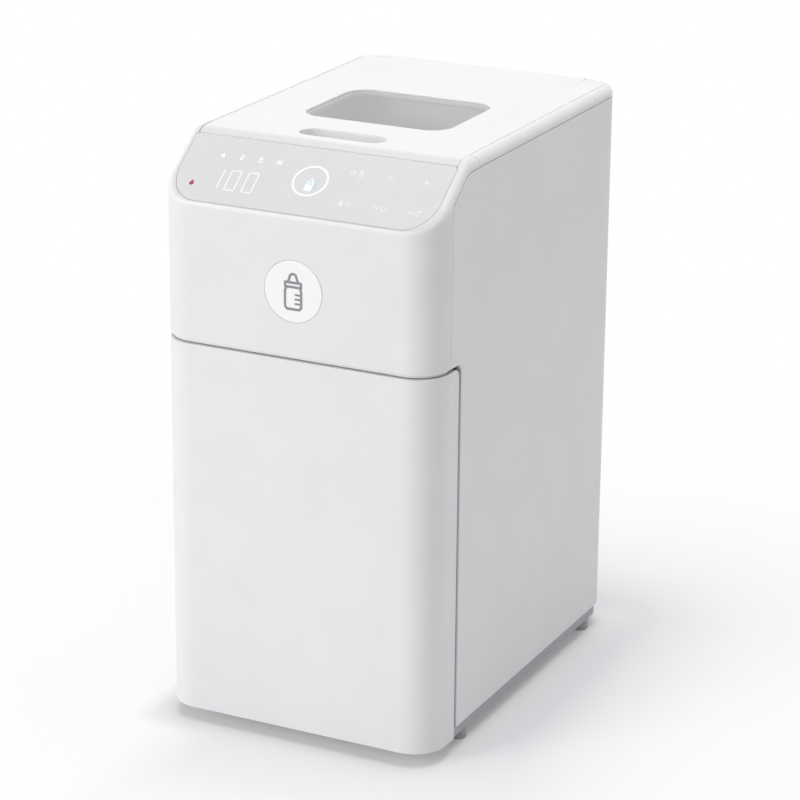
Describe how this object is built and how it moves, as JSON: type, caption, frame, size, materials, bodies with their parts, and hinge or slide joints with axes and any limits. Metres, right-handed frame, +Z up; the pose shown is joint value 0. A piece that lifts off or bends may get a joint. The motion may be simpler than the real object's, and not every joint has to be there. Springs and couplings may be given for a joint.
{
  "type": "baby formula maker",
  "caption": "Tall countertop machine that doses milk powder and warm water into a feeding bottle, with a lift-up lid, slanted touch panel and swing-open front door.",
  "frame": {"origin": "middle of the footprint, on the worktop under the feet", "axes": "+Z up, the door and control panel face -Y, +X to the right of someone facing the rear"},
  "size_m": [0.17, 0.25, 0.34],
  "materials": {
    "casing_white": "satin moulded ABS",
    "badge_white": "gloss",
    "control_sheet": "semi-gloss printed sheet",
    "trim_grey": "fine texture",
    "liner_white": "satin",
    "frame_grey": "moulded",
    "grille_grey": "moulded",
    "smoked_window": "smoked clear",
    "clear_plastic": "clear moulded",
    "dosing_plastic": "acetal",
    "float_plastic": "moulded",
    "rubber_grey": "matt",
    "hose_silicone": "silicone",
    "steel": "ground",
    "magnet": "plated",
    "heater_aluminium": "cast",
    "pump_black": "moulded",
    "board_green": "printed circuit board",
    "light_guide": "frosted clear",
    "brass": "plated"
  },
  "bodies": {
    "housing": {"base_plinth": "trim_grey", "rubber_feet": "rubber_grey", "side_panel_right": "casing_white", "side_panel_left": "casing_white", "rear_panel": "casing_white", "upper_front_casing": "casing_white", "inner_frame_right": "frame_grey", "inner_frame_left": "frame_grey", "top_frame": "casing_white", "lid_hinge_pin": "steel", "control_panel": "control_sheet", "control_board": "board_green", "display_module": "pump_black", "ring_light_guide": "light_guide", "badge_disc": "badge_white", "door_pivot_pins": "steel", "door_magnet": "magnet", "bay_bezel": "trim_grey", "bay_liner": "liner_white", "funnel_holder": "liner_white", "bay_deck": "liner_white", "dosing_housing": "liner_white", "gear_motor": "steel", "powder_hopper": "clear_plastic", "hopper_cover": "casing_white", "water_tank": "clear_plastic", "tank_cap": "clear_plastic", "tank_cradle": "liner_white", "tank_seal": "rubber_grey", "water_pump": "pump_black", "heater_block": "heater_aluminium", "heater_thermostat": "pump_black", "tank_hose": "hose_silicone", "pump_hose": "hose_silicone", "nozzle_hose": "hose_silicone", "water_nozzle": "steel", "power_board": "board_green", "mains_inlet": "pump_black", "inlet_pins": "brass", "switch_frame": "pump_black", "case_screws": "steel"},
    "lid": {"lid": "casing_white", "lid_window": "smoked_window", "lid_seal": "rubber_grey"},
    "door": {"door_shell": "casing_white", "door_liner": "liner_white", "door_strike": "steel"},
    "tray": {"drip_tray": "liner_white", "drip_grille": "grille_grey"},
    "funnel": {"mixing_funnel": "clear_plastic"},
    "dosing": {"dosing_wheel": "dosing_plastic", "dosing_shaft": "steel", "agitator": "dosing_plastic", "drive_gear": "dosing_plastic"},
    "pinion": {"motor_pinion": "dosing_plastic"},
    "float": {"tank_float": "float_plastic"},
    "rocker": {"switch_rocker": "pump_black"}
  },
  "joints": [
    {"name": "door_hinge", "type": "hinge", "parent": "housing", "child": "door", "pos_m": [-0.074, -0.1118, 0.1204], "axis": [0, 0, -1], "range_deg": [0, 95]},
    {"name": "lid_hinge", "type": "hinge", "parent": "housing", "child": "lid", "pos_m": [0, 0.12, 0.335], "axis": [-1, 0, 0], "range_deg": [0, 95]},
    {"name": "tray_height", "type": "slide", "parent": "housing", "child": "tray", "axis": [0, 0, 1], "range_m": [0, 0.1]},
    {"name": "funnel_twist", "type": "hinge", "parent": "housing", "child": "funnel", "pos_m": [0, -0.0538, 0.2154], "axis": [0, 0, 1], "range_deg": [0, 40]},
    {"name": "dosing_spin", "type": "hinge", "parent": "housing", "child": "dosing", "pos_m": [0, -0.0013, 0.2454], "axis": [0, 0, 1], "continuous": true},
    {"name": "pinion_spin", "type": "hinge", "parent": "housing", "child": "pinion", "pos_m": [0.01543, 0.01709, 0.2374], "axis": [0, 0, 1], "continuous": true},
    {"name": "float_rise", "type": "slide", "parent": "housing", "child": "float", "axis": [0, 0, 1], "range_m": [0, 0.07]},
    {"name": "switch_rock", "type": "hinge", "parent": "housing", "child": "rocker", "pos_m": [-0.046, 0.121, 0.0374], "axis": [-1, 0, 0], "range_deg": [0, 16]}
  ],
  "couplings": [
    {"joint": "pinion_spin", "follows": "dosing_spin", "ratio": -3}
  ]
}
